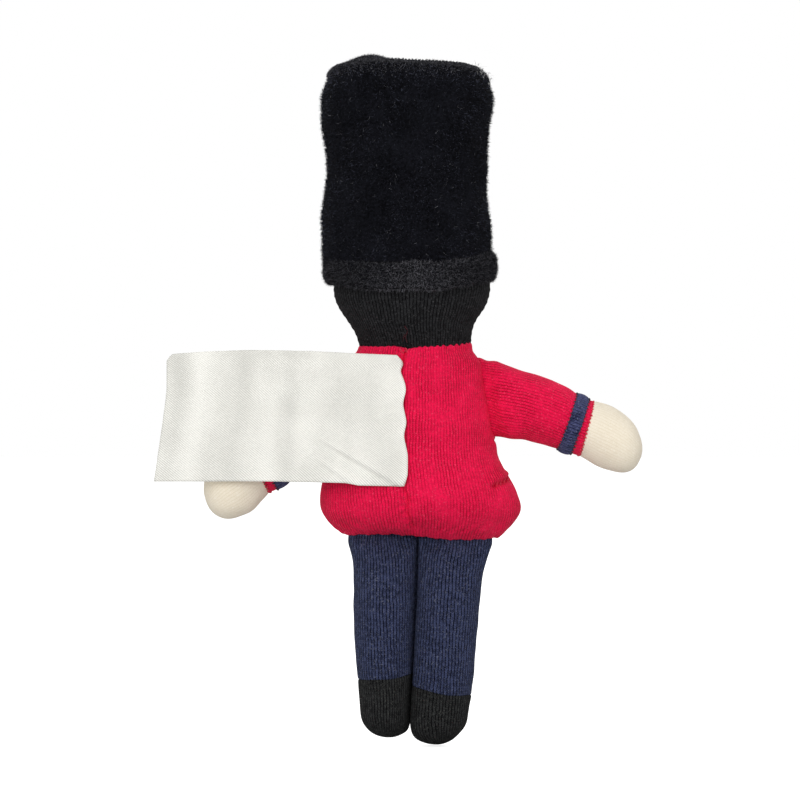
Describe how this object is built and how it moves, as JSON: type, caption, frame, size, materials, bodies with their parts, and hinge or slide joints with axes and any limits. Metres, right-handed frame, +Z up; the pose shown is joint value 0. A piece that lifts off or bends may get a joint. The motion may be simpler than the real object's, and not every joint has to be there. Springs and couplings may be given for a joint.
{
  "type": "cloth doll",
  "caption": "Small stuffed knitted doll of a guardsman in a tall plush hat, with sewn arms and legs that fold at their seams and a woven care label at the back.",
  "frame": {"origin": "under the middle of the doll's box, on the surface it stands on", "axes": "+Z up along the body, -Y the way the face looks, +X towards the doll's left hand and the loose end of the label"},
  "size_m": [0.1095, 0.0307, 0.1544],
  "materials": {
    "red_knit": "matte",
    "navy_knit": "matte",
    "cuff_knit": "matte",
    "black_knit": "matte",
    "boot_knit": "matte",
    "cream_knit": "matte",
    "plush": "matte",
    "woven_label": "satin",
    "fibre": "matte",
    "gold_thread": "satin",
    "dark_thread": "matte",
    "red_thread": "matte"
  },
  "bodies": {
    "torso": {"tunic": "red_knit", "torso_stuffing": "fibre", "button_1": "gold_thread", "button_2": "gold_thread", "button_3": "gold_thread", "button_4": "gold_thread"},
    "head": {"face": "cream_knit", "head_back": "black_knit", "head_stuffing": "fibre", "hat_crown": "plush", "hat_top": "plush", "hat_brim": "plush", "hat_stuffing": "fibre", "left_eye": "dark_thread", "right_eye": "dark_thread", "mouth": "red_thread"},
    "left_arm": {"left_sleeve": "red_knit", "left_cuff_band": "cuff_knit", "left_hand": "cream_knit", "left_arm_stuffing": "fibre"},
    "right_arm": {"right_sleeve": "red_knit", "right_cuff_band": "cuff_knit", "right_hand": "cream_knit", "right_arm_stuffing": "fibre"},
    "left_leg": {"left_trouser_leg": "navy_knit", "left_boot": "boot_knit", "left_leg_stuffing": "fibre"},
    "right_leg": {"right_trouser_leg": "navy_knit", "right_boot": "boot_knit", "right_leg_stuffing": "fibre"},
    "label": {"care_label": "woven_label"}
  },
  "joints": [
    {"name": "head_nod", "type": "hinge", "parent": "torso", "child": "head", "pos_m": [-0.00265, -0.00003, 0.0893], "axis": [1, 0, 0], "range_deg": [-15, 15], "stiffness_Nm_per_rad": 0.05},
    {"name": "left_shoulder", "type": "hinge", "parent": "torso", "child": "left_arm", "pos_m": [0.01471, -0.00003, 0.07704], "axis": [0.1736, 0, -0.9848], "range_deg": [0, 50], "stiffness_Nm_per_rad": 0.004},
    {"name": "right_shoulder", "type": "hinge", "parent": "torso", "child": "right_arm", "pos_m": [-0.02002, -0.00003, 0.07704], "axis": [0.1736, 0, 0.9848], "range_deg": [-60, 75], "stiffness_Nm_per_rad": 0.004},
    {"name": "left_hip", "type": "hinge", "parent": "torso", "child": "left_leg", "pos_m": [0.0051, -0.00003, 0.0427], "axis": [-1, 0, 0], "range_deg": [-60, 85], "stiffness_Nm_per_rad": 0.04},
    {"name": "right_hip", "type": "hinge", "parent": "torso", "child": "right_leg", "pos_m": [-0.0104, -0.00003, 0.0427], "axis": [-1, 0, 0], "range_deg": [-60, 85], "stiffness_Nm_per_rad": 0.04},
    {"name": "label_fold", "type": "hinge", "parent": "torso", "child": "label", "pos_m": [-0.00045, 0.01294, 0.0724], "axis": [0, -0.1218, 0.9926], "range_deg": [0, 165], "stiffness_Nm_per_rad": 0.0005}
  ]
}
